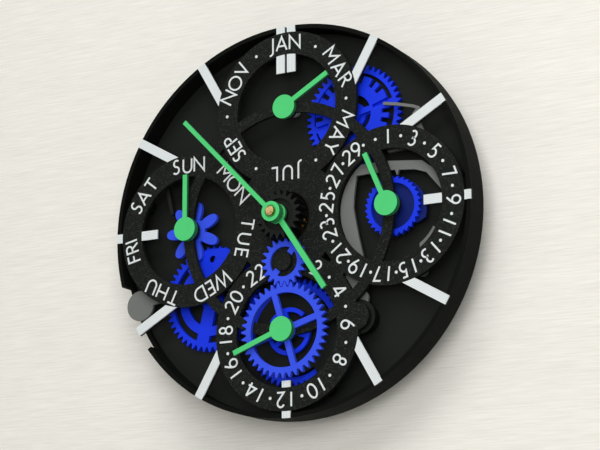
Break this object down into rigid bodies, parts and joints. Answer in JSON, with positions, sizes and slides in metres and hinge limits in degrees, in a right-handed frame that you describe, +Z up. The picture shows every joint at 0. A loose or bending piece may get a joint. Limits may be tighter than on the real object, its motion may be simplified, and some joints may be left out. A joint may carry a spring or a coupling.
{
  "type": "wall clock",
  "caption": "Round black skeleton wall clock with perpetual calendar: four ring dials with green hands, blue gears, a grey calendar lever and a rear cover.",
  "frame": {"origin": "centre of the flat back of the rear cover, where it lies against the room wall", "axes": "+Z up, -Y out of the wall towards the viewer, +X to the viewer's right"},
  "size_m": [0.211, 0.0531, 0.211],
  "materials": {
    "black": "satin black printed plastic",
    "dial_black": "black printed plastic with fine sparkle",
    "white": "matt white printed plastic",
    "steel": "ground steel",
    "movement": "black moulded plastic",
    "brass": "turned brass",
    "battery": "plain printed steel jacket",
    "green": "satin green printed plastic",
    "blue": "satin blue printed plastic",
    "grey": "satin grey printed plastic"
  },
  "bodies": {
    "clock": {"case_shell": "black", "main_plate": "black", "dial_plate": "dial_black", "hour_markers": "white", "dial_pillars": "black", "pillar_screws": "steel", "spacer_ring": "black", "cover_screws": "steel", "rear_cover": "black", "back_screws": "steel", "movement_case": "movement", "movement_bush": "brass", "movement_nut": "brass", "battery_cell": "battery", "battery_contacts": "brass", "transfer_stud": "steel", "lever_post": "black", "lever_spring": "black", "date_detent": "grey", "month_detent": "grey", "weekday_detent": "black"},
    "minute": {"centre_shaft": "brass", "minute_hand": "green"},
    "hour": {"hour_pipe": "brass", "hour_gear": "black", "hour_hand": "green"},
    "idler": {"idler_gear": "blue"},
    "day": {"day_arbor": "steel", "day_gear": "blue", "day_hand": "green", "clutch_ring": "blue", "day_cam": "black", "day_drive_gear": "blue"},
    "transfer": {"transfer_gear": "blue", "weekday_paddle": "blue"},
    "weekday": {"weekday_arbor": "steel", "weekday_star": "blue", "weekday_hand": "green"},
    "date": {"date_arbor": "steel", "date_ratchet": "blue", "date_disc": "blue", "date_hand": "green"},
    "month": {"month_arbor": "steel", "month_pinion": "brass", "month_hand": "green"},
    "program": {"program_arbor": "steel", "program_cam": "blue", "index_wheel": "blue", "program_gear": "brass"},
    "lever": {"calendar_lever": "grey"},
    "knob": {"setting_knob": "movement"},
    "door": {"battery_door": "black"}
  },
  "joints": [
    {"name": "minute_turn", "type": "hinge", "parent": "clock", "child": "minute", "pos_m": [0, -0.034, 0], "axis": [0, 1, 0], "continuous": true},
    {"name": "hour_turn", "type": "hinge", "parent": "clock", "child": "hour", "pos_m": [0, -0.034, 0], "axis": [0, 1, 0], "continuous": true},
    {"name": "idler_turn", "type": "hinge", "parent": "clock", "child": "idler", "pos_m": [0, -0.034, -0.024], "axis": [0, 1, 0], "continuous": true},
    {"name": "day_turn", "type": "hinge", "parent": "clock", "child": "day", "pos_m": [0, -0.034, -0.06], "axis": [0, 1, 0], "continuous": true},
    {"name": "transfer_turn", "type": "hinge", "parent": "clock", "child": "transfer", "pos_m": [-0.05019, -0.034, -0.03702], "axis": [0, 1, 0], "continuous": true},
    {"name": "weekday_turn", "type": "hinge", "parent": "clock", "child": "weekday", "pos_m": [-0.06, -0.034, 0], "axis": [0, 1, 0], "continuous": true},
    {"name": "date_turn", "type": "hinge", "parent": "clock", "child": "date", "pos_m": [0.06, -0.034, 0], "axis": [0, 1, 0], "continuous": true},
    {"name": "month_turn", "type": "hinge", "parent": "clock", "child": "month", "pos_m": [0, -0.034, 0.06], "axis": [0, 1, 0], "continuous": true},
    {"name": "program_turn", "type": "hinge", "parent": "clock", "child": "program", "pos_m": [0.03595, -0.034, 0.05262], "axis": [0, 1, 0], "continuous": true},
    {"name": "lever_swing", "type": "hinge", "parent": "clock", "child": "lever", "pos_m": [0.04071, -0.0285, -0.05608], "axis": [0, -1, 0], "range_deg": [0, 2.6], "stiffness_Nm_per_rad": 0.08, "springref_deg": -14.32},
    {"name": "knob_turn", "type": "hinge", "parent": "clock", "child": "knob", "pos_m": [0.016, -0.001, 0.014], "axis": [0, 1, 0], "continuous": true},
    {"name": "door_hinge", "type": "hinge", "parent": "clock", "child": "door", "pos_m": [0, -0.001, -0.0094], "axis": [1, 0, 0], "range_deg": [0, 95]}
  ],
  "couplings": [
    {"joint": "hour_turn", "follows": "minute_turn", "ratio": 0.083333},
    {"joint": "idler_turn", "follows": "minute_turn", "ratio": -0.083333},
    {"joint": "day_turn", "follows": "minute_turn", "ratio": 0.041667},
    {"joint": "transfer_turn", "follows": "minute_turn", "ratio": -0.041667},
    {"joint": "knob_turn", "follows": "minute_turn", "ratio": -1},
    {"joint": "program_turn", "follows": "month_turn", "ratio": -0.25}
  ]
}
